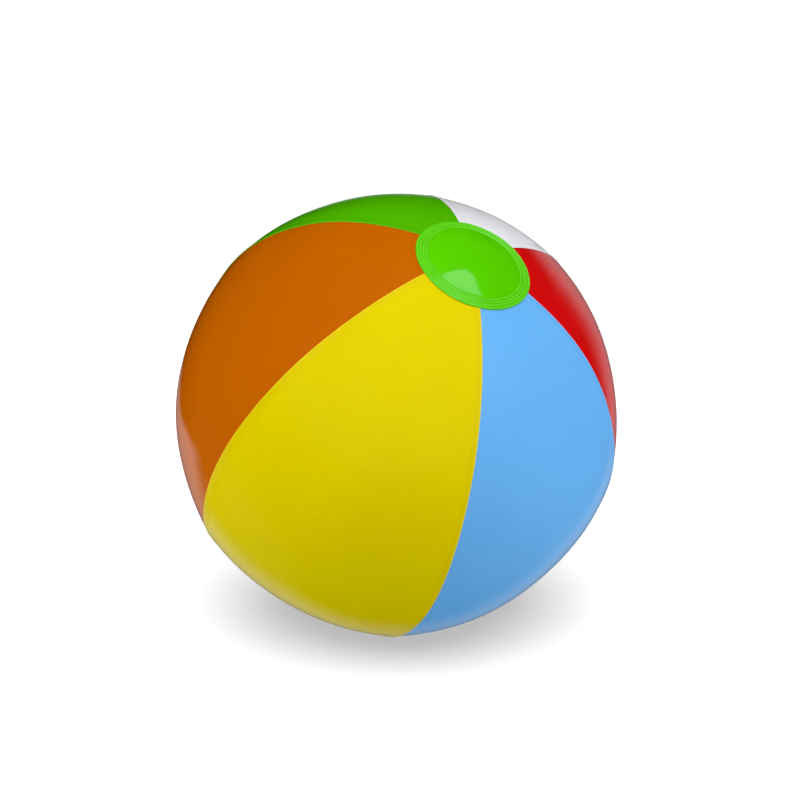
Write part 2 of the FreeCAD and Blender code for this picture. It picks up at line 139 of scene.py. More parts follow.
def quads(index, wrap_columns=False):
    """Quads between neighbouring rows and columns of an index grid, wrapped round its columns if asked."""
    if wrap_columns:
        index = np.concatenate([index, index[:, :1]], axis=1)
    a = index[:-1, :-1]
    b = index[1:, :-1]
    c = index[1:, 1:]
    d = index[:-1, 1:]
    return np.stack([a, b, c, d], axis=-1).reshape(-1, 4)


def fan(ring, middle):
    """Triangles from a middle point to a ring of points."""
    return np.stack([np.full(len(ring), middle), ring, np.roll(ring, -1)], axis=1)


# ---------------------------------------------------------------- the inflated shell


def lobe_distance(across, colatitude):
    """Distance from the ball's centre to the film, across radians from a panel's middle.

    A panel is an arc of LOBE_RADIUS turned about the line through the centre that crosses it:
    with p = sin(colatitude) sin(across) and q = sqrt(1 - p^2), the distance is
    sqrt(lobe^2 - setback^2 p^2) - setback q. The corner where two panels meet is rounded
    by holding |across| back from the seam by sqrt(past^2 + rounding^2).
    """
    reach = np.maximum(PANEL_RADIUS * np.sin(colatitude), 1.0)
    past = (np.abs(across) - HALF_PANEL) * reach
    folded = HALF_PANEL - np.sqrt(past**2 + CREASE_ROUNDING**2) / reach
    turn = np.minimum(folded, HALF_PANEL)
    p = np.sin(colatitude) * np.sin(np.maximum(turn, 0.0))
    q = np.sqrt(1 - p**2)
    return np.sqrt(LOBE_RADIUS**2 - (LOBE_SETBACK * p) ** 2) - LOBE_SETBACK * q


# slow waves of the film and short puckers beside the seams: (direction, wavelength mm, height mm, phase)
SLOW_WAVES = [
    ((0.9, 0.3, 0.3), 140.0, 0.30, 0.4),
    ((-0.2, 0.8, 0.5), 105.0, 0.22, 2.1),
    ((0.4, -0.5, 0.8), 83.0, 0.15, 4.0),
    ((-0.7, -0.6, 0.2), 61.0, 0.09, 1.2),
]
PUCKERS = [(17.0, 0.050, 0.3), (11.0, 0.030, 1.9), (7.3, 0.016, 3.1)]
PUCKER_REACH = 9.0


def film_waves(points):
    """Height of the slow waves: a sum of sines of the distance along a few directions."""
    height = np.zeros(points.shape[:-1])
    for direction, wavelength, size, phase in SLOW_WAVES:
        along = np.array(direction) / np.linalg.norm(direction)
        height += size * np.sin(2 * math.pi * (points @ along) / wavelength + phase)
    return height


def seam_puckers(seam_number, from_seam, along):
    """Height of the puckers: sines of the distance along the seam, which fade with distance from it,
    come and go along it, and start at another phase at each seam."""
    height = np.zeros(np.broadcast(from_seam, along).shape)
    for wavelength, size, phase in PUCKERS:
        height = height + size * np.sin(2 * math.pi * along / wavelength + phase + 1.7 * seam_number)
    patches = 0.5 + 0.5 * np.sin(along / 31.0 + 2.3 * seam_number) * np.sin(along / 13.0 + seam_number)
    return height * patches * np.exp(-np.abs(from_seam) / PUCKER_REACH)


def shell_point(turn, colatitude, height):
    """Point of the ball frame: turn radians about the pole from +X, height mm outside the film's base."""
    middle = (np.floor(turn / (2 * HALF_PANEL)) + 0.5) * 2 * HALF_PANEL
    across = turn - middle
    distance = lobe_distance(across, colatitude)
    ray = np.stack(
        [
            np.sin(colatitude) * np.cos(turn),
            np.sin(colatitude) * np.sin(turn),
            np.cos(colatitude) * np.ones_like(turn),
        ],
        axis=-1,
    )
    base = distance[..., None] * ray
    seam = np.round(turn / (2 * HALF_PANEL))
    reach = distance * np.sin(colatitude)
    from_seam = (turn - seam * 2 * HALF_PANEL) * reach
    rise = film_waves(base) + seam_puckers(seam % 6, from_seam, colatitude * PANEL_RADIUS)
    return base + (rise + height)[..., None] * ray


def turned_direction(turn, colatitude, tilt):
    """Turn and colatitude of grid directions after the 3 x 3 rotation tilt."""
    ray = np.stack(
        [np.sin(colatitude) * np.cos(turn), np.sin(colatitude) * np.sin(turn), np.cos(colatitude)], axis=-1
    )
    ray = ray @ tilt.T
    return np.arctan2(ray[..., 1], ray[..., 0]), np.arccos(np.clip(ray[..., 2], -1, 1))


def lap_relief(past_seam):
    """Height of the upper film of a lap seam: it rises over the lower film's hidden margin,
    carries the weld bar's shallow lines, and ends in a small bead. past_seam is in mm."""
    lift = LAP_LIFT * smoothstep((past_seam + LAP_RAMP_START) / LAP_RAMP)
    bead = BEAD_HEIGHT * bump(past_seam - LAP_EDGE + 0.5, BEAD_WIDTH)
    lines = sum(bump(past_seam + place, WELD_LINE_WIDTH) for place in WELD_LINES)
    return lift + bead - WELD_LINE_DEPTH * lines


def weld_share(past_seam):
    """1 over a welded lap and 0 on free film, for the material: a smooth step that starts a little
    way up the lap's ramp."""
    return smoothstep((past_seam + LAP_RAMP_START - WELD_INSET) / LAP_RAMP)


def bead_highlight_share(past_seam):
    """1 on the bead along an upper film's edge and 0 away from it, for the material's painted highlight:
    a smooth step down with distance from the bead's middle."""
    return smoothstep(1 - np.abs(past_seam - LAP_EDGE + BEAD_MIDDLE) / BEAD_REACH)


# ---------------------------------------------------------------- panels

DENSE_REACH = 9.0                  # closely spaced stations, from each edge inwards
ROWS = 260


def edge_stations():
    """Distances in mm from a panel's edge inwards, closest where the bead and the lap are."""
    rounding = FILM / 2 * (1 - np.cos(np.linspace(0.15, math.pi / 2, 5)))
    bead = np.arange(0.25, 2.0, 0.16)
    lap = np.arange(2.1, 8.1, 0.33)
    rest = np.array([8.5, DENSE_REACH])
    return np.concatenate([rounding, bead, lap, rest])


def half_thickness(from_edge):
    """Half the film's thickness, rounded like a half circle at its edge."""
    inside = np.clip(FILM / 2 - from_edge, 0, None)
    return np.sqrt(np.clip((FILM / 2) ** 2 - inside**2, 0, None))


MIDDLE_STATIONS = 40               # evenly spaced, over the rest of a panel


def panel_grid(low_on_top, high_on_top):
    """Stations across a panel for every row: turn from the middle, colatitude and edge distance."""
    tip = math.asin(TIP_RADIUS / PANEL_RADIUS)
    colatitude = np.linspace(tip, math.pi - tip, ROWS)[:, None]
    reach = PANEL_RADIUS * np.sin(colatitude)
    dense = edge_stations()[None, :]
    edges = []
    for on_top in (low_on_top, high_on_top):
        end = LAP_EDGE if on_top else LAP_MARGIN
        edges.append(HALF_PANEL + (end - dense) / reach)
    low, high = edges
    share = np.linspace(0, 1, MIDDLE_STATIONS + 2)[None, 1:-1]
    middle = -low[:, -1:] * (1 - share) + high[:, -1:] * share
    across = np.concatenate([-low, middle, high[:, ::-1]], axis=1)
    from_edge = np.concatenate(
        [
            np.broadcast_to(dense, low.shape),
            np.full(middle.shape, DENSE_REACH),
            np.broadcast_to(dense[:, ::-1], high.shape),
        ],
        axis=1,
    )
    return across, np.broadcast_to(colatitude, across.shape), from_edge


def panel_heights(across, colatitude, low_on_top, high_on_top):
    """Height of the film's outside over the shell's base, and the shares of weld and bead, for a
    panel's grid: the sum of the lap reliefs of its upper edges."""
    reach = PANEL_RADIUS * np.sin(colatitude)
    height = np.zeros(across.shape)
    weld = np.zeros(across.shape)
    ridge = np.zeros(across.shape)
    for on_top, side in ((low_on_top, -1), (high_on_top, 1)):
        past_seam = (side * across - HALF_PANEL) * reach
        if on_top:
            height = height + lap_relief(past_seam)
            weld = np.maximum(weld, weld_share(past_seam))
            # the bead's share, where the material paints a highlight
            ridge = np.maximum(ridge, bead_highlight_share(past_seam))
    return height, weld, ridge


def make_panel(name):
    """One film panel as a closed thin shell.

    Rows run from pole to pole and stations across. Outside and inside points are half the film's
    thickness either side of its middle surface, which follows the shell and the lap seams.
    """
    order, slot, low_on_top, high_on_top = PANELS[name]
    across, colatitude, from_edge = panel_grid(low_on_top, high_on_top)
    height, weld, ridge = panel_heights(across, colatitude, low_on_top, high_on_top)
    turn = across + (2 * order + 1) * HALF_PANEL
    thickness = half_thickness(from_edge)
    middle = height - FILM / 2
    outside = shell_point(turn, colatitude, middle + thickness)
    inside = shell_point(turn, colatitude, middle - thickness)
    rows, stations = across.shape
    count = rows * stations
    outer_index = np.arange(count).reshape(rows, stations)
    inner_index = outer_index + count
    keep = np.ones((rows - 1, stations - 1), bool)
    extra_points, extra_faces, extra_weld = [], [], []
    if name == "panel_green":
        keep, extra_points, extra_faces, extra_weld = valve_surround(
            turn, colatitude, outer_index, inner_index, 2 * count
        )
    outer_faces = quads(outer_index).reshape(rows - 1, stations - 1, 4)[keep]
    inner_faces = quads(inner_index).reshape(rows - 1, stations - 1, 4)[keep][:, ::-1]
    walls = [
        quads(np.stack([outer_index[:, 0], inner_index[:, 0]], axis=1))[:, ::-1],
        quads(np.stack([outer_index[:, -1], inner_index[:, -1]], axis=1)),
        quads(np.stack([outer_index[0], inner_index[0]], axis=1)),
        quads(np.stack([outer_index[-1], inner_index[-1]], axis=1))[:, ::-1],
    ]
    points = np.concatenate([outside.reshape(-1, 3), inside.reshape(-1, 3), *extra_points])
    weld_all = np.concatenate([weld.ravel(), weld.ravel(), *extra_weld])
    ridge_all = np.concatenate([ridge.ravel(), ridge.ravel(), np.zeros(len(points) - 2 * count)])
    piece = mesh_object(
        name.replace("panel", "film"),
        ball_frame(points),
        [outer_faces, inner_faces, *walls, *extra_faces],
        {"weld": weld_all, "ridge": ridge_all},
    )
    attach(piece, "ball")
    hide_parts(name)
    return piece


# ---------------------------------------------------------------- film round the valve

VALVE_ORDER = PANELS["panel_green"][0]
VALVE_TURN = (2 * VALVE_ORDER + 1) * HALF_PANEL
HOLE_RADIUS = 8.0
FLANGE_RADIUS = 13.0
SURROUND_REACH = 21.0
SURROUND_RINGS = 40
SURROUND_FADE = 15.0               # where the welded ring's relief starts to fade into the panel
SURROUND_FADE_WIDTH = 4.0


def valve_axes():
    """The valve's origin on the film and its axes in the ball frame: x to the bottom pole, y, z out."""
    out = np.array(
        [
            math.sin(VALVE_COLATITUDE) * math.cos(VALVE_TURN),
            math.sin(VALVE_COLATITUDE) * math.sin(VALVE_TURN),
            math.cos(VALVE_COLATITUDE),
        ]
    )
    side = np.array([-math.sin(VALVE_TURN), math.cos(VALVE_TURN), 0.0])
    down = np.cross(side, out)
    return out * PANEL_RADIUS, down, side, out


def valve_relief(radius):
    """Height of the film over the welded flange: a flat step with two pressed rings and a lip."""
    step = 0.22 * (1 - smoothstep((radius - FLANGE_RADIUS + 0.4) / 1.2))
    rings = 0.09 * (bump(radius - 9.9, 0.35) + bump(radius - 11.8, 0.35))
    lip = 0.14 * bump(radius - HOLE_RADIUS - 0.35, 0.4)
    return step - rings + lip


def valve_surround(turn, colatitude, outer_index, inner_index, first_free):
    """Film round the valve's hole: rings that go from the round hole to a rectangle of the panel's grid.

    Each ring's points lie on straight lines, in turn and colatitude, from the circle to the
    rectangle's own points, so both patches share those points and the shell stays closed.
    """
    origin, down, side, out = valve_axes()
    reach = PANEL_RADIUS * math.sin(VALVE_COLATITUDE)
    near_turn = np.abs((turn - VALVE_TURN) * reach) <= SURROUND_REACH
    near_row = np.abs((colatitude - VALVE_COLATITUDE) * PANEL_RADIUS) <= SURROUND_REACH
    row_list = np.flatnonzero(near_row[:, 0])
    middle_row = row_list[len(row_list) // 2]
    column_list = np.flatnonzero(near_turn[middle_row])
    top, bottom = row_list[0], row_list[-1]
    left, right = column_list[0], column_list[-1]
    keep = np.ones((outer_index.shape[0] - 1, outer_index.shape[1] - 1), bool)
    keep[top:bottom, left:right] = False
    loop = (
        [(top, c) for c in range(left, right)]
        + [(r, right) for r in range(top, bottom)]
        + [(bottom, c) for c in range(right, left, -1)]
        + [(r, left) for r in range(bottom, top, -1)]
    )
    loop_rows = np.array([r for r, _ in loop])
    loop_columns = np.array([c for _, c in loop])
    far_turn = turn[loop_rows, loop_columns]
    far_colatitude = colatitude[loop_rows, loop_columns]
    angle = np.arctan2(
        (far_turn - VALVE_TURN) * reach, (far_colatitude - VALVE_COLATITUDE) * PANEL_RADIUS
    )
    circle = (
        origin
        + HOLE_RADIUS * np.cos(angle)[:, None] * down
        + HOLE_RADIUS * np.sin(angle)[:, None] * side
    )
    near_turn = np.arctan2(circle[:, 1], circle[:, 0])
    near_turn = VALVE_TURN + (near_turn - VALVE_TURN + math.pi) % (2 * math.pi) - math.pi
    near_colatitude = np.arccos(circle[:, 2] / np.linalg.norm(circle, axis=1))
    share = np.linspace(0, 1, SURROUND_RINGS + 1)[:-1, None] ** 1.3
    ring_turn = near_turn * (1 - share) + far_turn * share
    ring_colatitude = near_colatitude * (1 - share) + far_colatitude * share
    across = (ring_turn - VALVE_TURN) * PANEL_RADIUS * np.sin(ring_colatitude)
    along = (ring_colatitude - VALVE_COLATITUDE) * PANEL_RADIUS
    radius = np.hypot(across, along)
    fade = 1 - smoothstep((radius - SURROUND_FADE) / SURROUND_FADE_WIDTH)
    height = valve_relief(radius) * fade
    outside = shell_point(ring_turn, ring_colatitude, height)
    inside = shell_point(ring_turn, ring_colatitude, height - FILM)
    count = outside.shape[0] * outside.shape[1]
    outer_rings = first_free + np.arange(count).reshape(outside.shape[:2])
    inner_rings = outer_rings + count
    outer_rings_all = np.concatenate([outer_rings, outer_index[loop_rows, loop_columns][None]])
    inner_rings_all = np.concatenate([inner_rings, inner_index[loop_rows, loop_columns][None]])
    hole_wall = np.stack([outer_rings[0], inner_rings[0]])
    faces = [
        quads(outer_rings_all, wrap_columns=True)[:, ::-1],
        quads(inner_rings_all, wrap_columns=True),
        quads(hole_wall, wrap_columns=True),
    ]
    weld = 1 - smoothstep((radius - FLANGE_RADIUS) / 1.0)
    return keep, [outside.reshape(-1, 3), inside.reshape(-1, 3)], faces, [weld.ravel(), weld.ravel()]


# ---------------------------------------------------------------- end caps

CAP_SEAT = 0.62                    # cap's outside over the panels, at its welded rim
CAP_DOME = 2.1                     # extra bulge where no panel lies under the cap
DOME_RADIUS = 33.4
WELDED_CAP_RADIUS = 42.4           # the weld draws the film in a little from its cut size
CAP_RINGS = (34.9, 37.1, 39.2, 41.2)
CAP_RING_HEIGHT = 0.34
CAP_RING_WIDTH = 0.5
CAP_RIDGE_WIDTH = 0.55             # of the painted highlight along the rings
CAP_COLUMNS = 256
# the cap is laid by hand, so its middle isn't quite on the pole: mm along the part's axes
TOP_CAP_SHIFT = (2.55, -2.75, -2.6)
BOTTOM_CAP_SHIFT = (-1.9, 0.8, -0.76)


def cap_relief(radius):
    """Height of a cap: a welded rim with raised rings, a groove, then a dome that bulges freely, as
    CAP_DOME (1 - (radius / DOME_RADIUS)^2)^1.1."""
    share = np.clip(radius / DOME_RADIUS, 0, 1)
    dome = CAP_DOME * (1 - share**2) ** 1.1
    rings = sum(bump(radius - place, CAP_RING_WIDTH) for place in CAP_RINGS)
    groove = 0.12 * bump(radius - DOME_RADIUS - 0.3, 0.6)
    return CAP_SEAT + dome + CAP_RING_HEIGHT * rings - groove


PINCH_MIDDLE = (-5.4, -5.9)
PINCH_DIRECTION = (0.796, -0.606)
PINCH_HEIGHT, PINCH_WIDTH, PINCH_HALF_LENGTH = 0.13, 0.42, 6.6
DENT_MIDDLE = (6.0, -27.8)
DENT_DEPTH, DENT_WIDTH = 0.22, 2.4
RIM_WAVE_HEIGHT = 0.07


def cap_marks(x, y):
    """Marks that making left in a cap, at x and y mm from its middle: a short zigzag pinch in the dome,
    a shallow dent in the rings, and slight waves round the rim."""
    from_x, from_y = x - PINCH_MIDDLE[0], y - PINCH_MIDDLE[1]
    along = PINCH_DIRECTION[0] * from_x + PINCH_DIRECTION[1] * from_y
    beside = PINCH_DIRECTION[0] * from_y - PINCH_DIRECTION[1] * from_x
    zigzag = 0.9 * np.sin(along * 0.95) + 0.08 * along
    ends = smoothstep((PINCH_HALF_LENGTH - np.abs(along)) / 1.6)
    pinch = PINCH_HEIGHT * bump(beside - zigzag, PINCH_WIDTH) * ends
    dent = DENT_DEPTH * bump(np.hypot(x - DENT_MIDDLE[0], y - DENT_MIDDLE[1]), DENT_WIDTH)
    turn, radius = np.arctan2(y, x), np.hypot(x, y)
    rim = smoothstep((radius - 36) / 5)
    waves = RIM_WAVE_HEIGHT * np.sin(23 * turn + 1.1) * np.sin(5 * turn) * rim
    return pinch - dent + waves


def make_cap(name, at_top):
    """A round end cap as a closed thin shell on a polar grid: rings of points about its middle."""
    rounding = WELDED_CAP_RADIUS - FILM / 2 * (1 - np.cos(np.linspace(math.pi / 2, 0.15, 5)))
    radius = np.concatenate(
        [np.linspace(0.6, 31.8, 36), np.arange(32.0, WELDED_CAP_RADIUS - 0.25, 0.17), rounding]
    )[:, None]
    sign = 1 if at_top else -1
    grid_turn = sign * np.linspace(0, 2 * math.pi, CAP_COLUMNS, endpoint=False)[None, :] + 0.0 * radius
    radius = radius + 0.0 * grid_turn
    grid_colatitude = np.arcsin(radius / PANEL_RADIUS)
    shift = np.array(TOP_CAP_SHIFT if at_top else BOTTOM_CAP_SHIFT) @ BALL_TURN
    grid_pole = np.array([0.0, 0.0, sign])
    middle = grid_pole * PANEL_RADIUS + shift
    tilt = np.array(Vector(grid_pole).rotation_difference(Vector(middle)).to_matrix())
    if not at_top:
        grid_colatitude = math.pi - grid_colatitude
    turn, colatitude = turned_direction(grid_turn, grid_colatitude, tilt)
    weld = smoothstep((radius - DOME_RADIUS) / 0.8)
    thickness = half_thickness(WELDED_CAP_RADIUS - radius)
    marks = cap_marks(radius * np.cos(grid_turn), radius * np.sin(grid_turn))
    height = cap_relief(radius) + marks - FILM / 2
    # painted highlight: the material makes the rings paler
    ridge = sum(bump(radius - place, CAP_RIDGE_WIDTH) for place in CAP_RINGS)
    outside = shell_point(turn, colatitude, height + thickness)
    inside = shell_point(turn, colatitude, height - thickness)
    rings = radius.shape[0]
    count = rings * CAP_COLUMNS
    outer_index = np.arange(count).reshape(rings, CAP_COLUMNS)
    inner_index = outer_index + count
    middles = np.stack([outside[0].mean(axis=0), inside[0].mean(axis=0)])
    faces = [
        quads(outer_index, wrap_columns=True),
        quads(inner_index, wrap_columns=True)[:, ::-1],
        quads(np.stack([outer_index[-1], inner_index[-1]]), wrap_columns=True),
        fan(outer_index[0], 2 * count),
        fan(inner_index[0], 2 * count + 1)[:, ::-1],
    ]
    points = np.concatenate([outside.reshape(-1, 3), inside.reshape(-1, 3), middles])
    weld_all = np.concatenate([weld.ravel(), weld.ravel(), [0.0, 0.0]])
    ridge_all = np.concatenate([ridge.ravel(), ridge.ravel(), [0.0, 0.0]])
    shares = {"weld": weld_all, "ridge": ridge_all}
    piece = mesh_object(f"film_{name}", ball_frame(points), faces, shares)
    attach(piece, "ball")
    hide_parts(name)
    return piece


# ---------------------------------------------------------------- valve

VALVE_COLUMNS = 128


def valve_frame(points):
    """Turns points of the valve frame (+Z out of the ball, +X to the bottom cap) into the part's frame."""
    origin, down, side, out = valve_axes()
    points = np.asarray(points, float)
    return ball_frame(origin + points @ np.stack([down, side, out]))


def rounded(corners, radius, closed=True):
    """A smooth path through a polygon's corners: each corner becomes a quadratic curve that starts and
    ends at most radius from it, and at most 0.45 of the shorter side beside it."""
    corners = np.asarray(corners, float)
    count = len(corners)
    out = []
    for index in range(count):
        here = corners[index]
        if not closed and index in (0, count - 1):
            out.append(here[None])
            continue
        before, after = corners[index - 1] - here, corners[(index + 1) % count] - here
        reach = min(radius, 0.45 * np.linalg.norm(before), 0.45 * np.linalg.norm(after))
        first = here + reach * before / np.linalg.norm(before)
        last = here + reach * after / np.linalg.norm(after)
        t = np.linspace(0, 1, 7)[:, None]
        out.append((1 - t) ** 2 * first + 2 * t * (1 - t) * here + t**2 * last)
    return np.concatenate(out)


def densified(path, step, closed=True):
    """Adds evenly spaced points along a path's longer sides."""
    ends = np.roll(path, -1, axis=0) if closed else path[1:]
    out = []
    for start, end in zip(path if closed else path[:-1], ends):
        pieces = max(1, int(np.linalg.norm(end - start) / step))
        out.append(start + np.linspace(0, 1, pieces, endpoint=False)[:, None] * (end - start))
    if not closed:
        out.append(path[-1:])
    return np.concatenate(out)


def ring_piece(name, section):
    """A piece round the valve's axis whose section, (radius, height) points in order, never meets the
    axis: each section point becomes a ring, and the rings join up in a closed tube. Order: with the
    solid on the left as radius runs across and height up."""
    angle = np.linspace(0, 2 * math.pi, VALVE_COLUMNS, endpoint=False)[None, :]
    radius = section[:, :1] + 0 * angle
    height = section[:, 1:] + 0 * angle
    points = np.stack([radius * np.cos(angle), radius * np.sin(angle), height], axis=-1)
    index = np.arange(len(section) * VALVE_COLUMNS).reshape(len(section), VALVE_COLUMNS)
    index = np.concatenate([index, index[:1]])
    return mesh_object(name, valve_frame(points.reshape(-1, 3)), [quads(index, wrap_columns=True)[:, ::-1]])


def capped_piece(name, section, stretch=None):
    """A piece round the valve's axis that is closed on it: rings for the section points between its
    first and last, which lie on the axis. stretch(angle, radius) gives each ring's own outline."""
    angle = np.linspace(0, 2 * math.pi, VALVE_COLUMNS, endpoint=False)[None, :]
    rings = section[1:-1]
    radius = rings[:, :1] + 0 * angle
    height = rings[:, 1:] + 0 * angle
    if stretch is not None:
        radius, height = stretch(angle, radius, height)
    points = np.stack([radius * np.cos(angle), radius * np.sin(angle), height], axis=-1)
    count = len(rings) * VALVE_COLUMNS
    index = np.arange(count).reshape(len(rings), VALVE_COLUMNS)
    ends = np.array([[0, 0, section[0, 1]], [0, 0, section[-1, 1]]])
    faces = [
        quads(index, wrap_columns=True)[:, ::-1],
        fan(index[0], count)[:, ::-1],
        fan(index[-1], count + 1),
    ]
    return mesh_object(name, valve_frame(np.concatenate([points.reshape(-1, 3), ends])), faces)


def make_flange():
    """The welded ring under the film, with rounded edges."""
    section = [(8.0, -1.5), (13.0, -1.5), (13.0, -0.9), (8.0, -0.6)]
    return ring_piece("valve_flange_ring", densified(rounded(section, 0.2), 0.6))


def make_web():
    """The cone of soft film between flange and stem, with two shallow fold lines along it."""
    stations = np.linspace(0, 1, 30)
    radius = 7.95 - 2.8 * stations
    fold = 0.16 * (bump(stations - 0.3, 0.09) - bump(stations - 0.68, 0.09))
    upper = np.stack([radius, -0.72 - 5.5 * stations + fold], axis=1)
    lower = np.stack([radius, -1.38 - 5.6 * stations + fold], axis=1)
    return ring_piece("valve_web_cone", np.concatenate([lower[::-1], upper]))


def make_stem():
    """The mouthpiece: a tube with a rounded rim, a tapered seat, a bead where it is held by the teeth
    and a thicker foot."""
    section = [
        (3.0, -11.0), (5.0, -11.0), (5.0, -9.9), (4.85, -9.7), (4.85, -7.6),
        (5.0, -7.4), (5.0, -2.6), (5.12, -2.4), (5.12, -2.0), (5.0, -1.8),
        (5.0, 0.8), (6.5, 0.8), (6.5, 2.0), (4.0, 2.0), (3.0, -1.6),
    ]
    return ring_piece("valve_mouthpiece", densified(rounded(section, 0.3), 0.45))


TAB_REACH = 9.4
TAB_HALF_WIDTH = 2.6
LID_RADIUS = 6.2
JOIN_SHARPNESS = 10


def lid_outline(angle):
    """Distance from the axis to the lid's edge: the round lid, and a tab with a rounded end on -X,
    joined as the JOIN_SHARPNESS-th root of the sum of both distances to that power."""
    across = np.abs(np.sin(angle))
    along = -np.cos(angle)
    end_middle = TAB_REACH - TAB_HALF_WIDTH
    half_chord = np.clip(TAB_HALF_WIDTH**2 - (end_middle * across) ** 2, 0, None)
    on_tab = (along > 0) & (end_middle * across < TAB_HALF_WIDTH)
    tip = np.where(on_tab, end_middle * along + np.sqrt(half_chord), 0)
    side = np.where(along > 0.05, TAB_HALF_WIDTH / np.maximum(across, 1e-6), 0)
    tab = np.where(tip > 0, np.minimum(side, tip), 0)
    return (LID_RADIUS**JOIN_SHARPNESS + tab**JOIN_SHARPNESS) ** (1 / JOIN_SHARPNESS)


def make_plug():
    """The plug: a domed lid with a finger tab, three grip ribs on the tab, and the tapered stopper."""
    section = [(0, -1.55), (2.93, -1.55), (3.93, 2.05), (LID_RADIUS, 2.05), (LID_RADIUS, 3.25), (0, 3.25)]
    path = densified(rounded(section, 0.45, closed=False), 0.3, closed=False)

    def stretch(angle, radius, height):
        """Rings past the stopper reach out to the lid's outline, and the tab's underside is higher."""
        share = smoothstep((radius - 4.4) / 1.8)
        reach = radius * (1 + share * (lid_outline(angle) / LID_RADIUS - 1))
        past_lid = smoothstep((reach - 6.3) / 0.8)
        along = -reach * np.cos(angle)
        ribs = sum(bump(along - place, 0.16) for place in (7.2, 7.9, 8.6))
        on_top = height > 2.7
        rise = np.where(on_top, -0.08 * past_lid - 0.10 * ribs * past_lid, 0.3 * past_lid)
        ring_mark = -0.10 * bump(reach - 4.9, 0.22) - 0.12 * smoothstep(1 - reach / 4.2)
        return reach, height + rise + np.where(on_top, ring_mark, 0)

    return capped_piece("valve_plug_lid", path, stretch)


FLAP_RADIUS = 4.4
FLAP_HINGE = 4.9                   # hinge line, from the axis
FLAP_HINGE_HALF_WIDTH = 1.5


def make_flap():
    """The check flap: a thin disc with rounded edges, and the short strip that it hinges on."""
    section = [(0, -11.55), (FLAP_RADIUS, -11.55), (FLAP_RADIUS, -11.05), (0, -11.05)]
    path = densified(rounded(section, 0.12, closed=False), 0.35, closed=False)

    def stretch(angle, radius, height):
        """The outer rings follow the disc's outline with its hinge strip on +X."""
        ahead = FLAP_HINGE / np.maximum(np.cos(angle), 0.1)
        beside = FLAP_HINGE_HALF_WIDTH / np.maximum(np.abs(np.sin(angle)), 1e-6)
        strip = np.where(np.cos(angle) > 0, np.minimum(ahead, beside), 0)
        outline = np.maximum(FLAP_RADIUS, strip)
        share = smoothstep((radius - 3.4) / 0.9)
        return radius * (1 + share * (outline / FLAP_RADIUS - 1)), height

    return capped_piece("valve_check_flap", path, stretch)


STRAP_FOLD = (11.0, 1.8)           # middle of the strap's fold: reach and height in the valve frame
STRAP_FOLD_RADIUS = 0.7            # to the middle of the strap's thickness
STRAP_HALF_THICKNESS = 0.33
STRAP_HALF_WIDTH = 2.0
STRAP_LOW_END = 6.3                # where the strap meets the rim
STRAP_HIGH_END = 6.1               # where it meets the lid


def make_strap():
    """The folded strap: a rounded strip swept along a straight leg on the rim, a half circle about the
    fold's middle, and a straight leg to the lid. The strip narrows a little at the fold."""
    fold_x, fold_z = STRAP_FOLD
    low_reach = np.linspace(STRAP_LOW_END, fold_x, 16, endpoint=False)
    low = np.stack([low_reach, np.full(16, fold_z - STRAP_FOLD_RADIUS)], axis=1)
    turn = np.linspace(-math.pi / 2, math.pi / 2, 25)
    arc = np.array(STRAP_FOLD) + STRAP_FOLD_RADIUS * np.stack([np.cos(turn), np.sin(turn)], axis=1)
    high_reach = np.linspace(fold_x, STRAP_HIGH_END, 17)[1:]
    high = np.stack([high_reach, np.full(16, fold_z + STRAP_FOLD_RADIUS)], axis=1)
    path = np.concatenate([low, arc, high])
    ahead = np.gradient(path, axis=0)
    ahead /= np.linalg.norm(ahead, axis=1)[:, None]
    normal = np.stack([ahead[:, 1], -ahead[:, 0]], axis=1)
    around = np.linspace(0, 2 * math.pi, 40, endpoint=False)
    wide = np.sign(np.cos(around)) * np.abs(np.cos(around)) ** 0.35
    thick = np.sign(np.sin(around)) * np.abs(np.sin(around)) ** 0.6
    narrowing = 1 - 0.12 * bump(path[:, 0] - fold_x - 0.5, 1.6)
    across = STRAP_HALF_WIDTH * narrowing[:, None] * wide[None, :]
    lift = STRAP_HALF_THICKNESS * thick[None, :]
    points = np.stack(
        [
            path[:, :1] + normal[:, :1] * lift,
            across,
            path[:, 1:] + normal[:, 1:] * lift,
        ],
        axis=-1,
    )
    rows, columns = across.shape
    count = rows * columns
    index = np.arange(count).reshape(rows, columns)
    ends = points[[0, -1]].mean(axis=1)
    faces = [quads(index, wrap_columns=True), fan(index[0], count), fan(index[-1], count + 1)[:, ::-1]]
    points = np.concatenate([points.reshape(-1, 3), ends])
    return mesh_object("valve_strap_fold", valve_frame(points), faces)


# ---------------------------------------------------------------- materials


def linear(hex_colour):
    """sRGB hex to the linear colour that shaders take."""
    channels = [int(hex_colour[i:i + 2], 16) / 255 for i in (1, 3, 5)]
    out = [c / 12.92 if c <= 0.04045 else ((c + 0.055) / 1.055) ** 2.4 for c in channels]
    return (*out, 1.0)


def add_node(tree, kind, inputs=None, **settings):
    """Adds a node: settings are its properties, and inputs its sockets' values or the sockets linked in."""
    node = tree.nodes.new(kind)
    for key, value in settings.items():
        setattr(node, key, value)
    for key, value in (inputs or {}).items():
        if isinstance(value, bpy.types.NodeSocket):
            tree.links.new(value, node.inputs[key])
        else:
            node.inputs[key].default_value = value
    return node


def new_material(name):
    """An empty node material, and its tree."""
    material = bpy.data.materials.new(name)
    material.use_nodes = True
    material.node_tree.nodes.clear()
    return material, material.node_tree


def mixed(tree, share, first, second):
    """The colour that is first where share is 0 and second where it is 1. Each is a socket or a hex."""
    node = add_node(tree, "ShaderNodeMix", {0: share}, data_type="RGBA")
    for key, colour in (("A", first), ("B", second)):
        if isinstance(colour, str):
            node.inputs[key].default_value = linear(colour)
        else:
            tree.links.new(colour, node.inputs[key])
    return node.outputs["Result"]


def scaled(tree, value, factor):
    """A socket's value times a number."""
    return add_node(tree, "ShaderNodeMath", {0: value, 1: factor}, operation="MULTIPLY").outputs[0]


